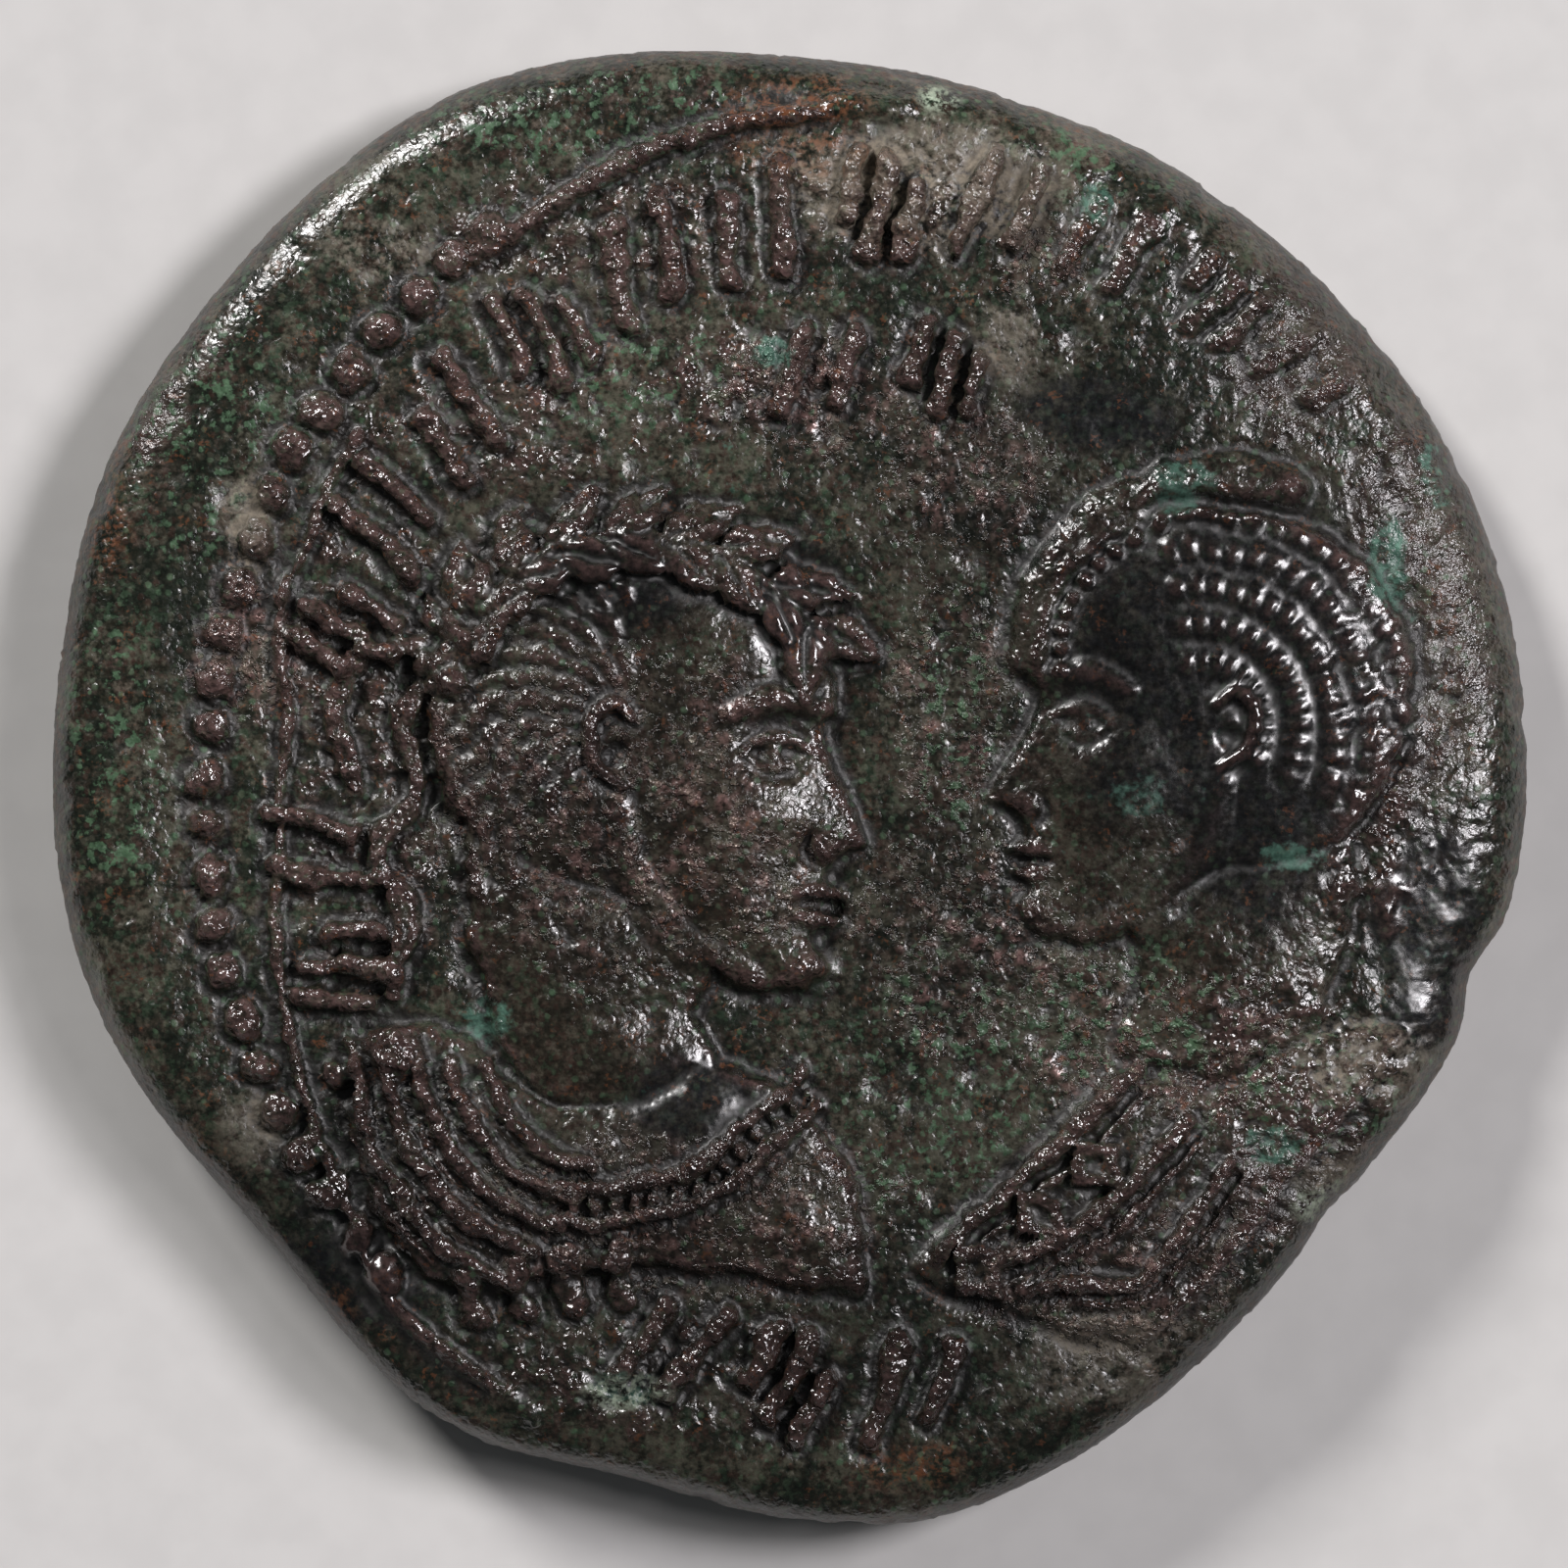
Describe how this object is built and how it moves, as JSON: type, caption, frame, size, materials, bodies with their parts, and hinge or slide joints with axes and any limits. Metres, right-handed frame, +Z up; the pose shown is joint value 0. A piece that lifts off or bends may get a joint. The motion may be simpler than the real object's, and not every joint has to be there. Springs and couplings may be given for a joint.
{
  "type": "coin",
  "caption": "Struck bronze coin with facing draped busts, a beaded border and a worn stroke legend, lying flat on its plainer reverse",
  "frame": {"origin": "middle of the flan's outline on the plane the reverse rests on", "axes": "+Z is up out of the obverse, +Y is towards the top of the two busts and +X towards the right-hand bust"},
  "size_m": [0.027, 0.027, 0.0035],
  "materials": {
    "bronze": "dark green-brown patina, worn satin"
  },
  "bodies": {
    "root": {"coin": "bronze"}
  },
  "joints": []
}
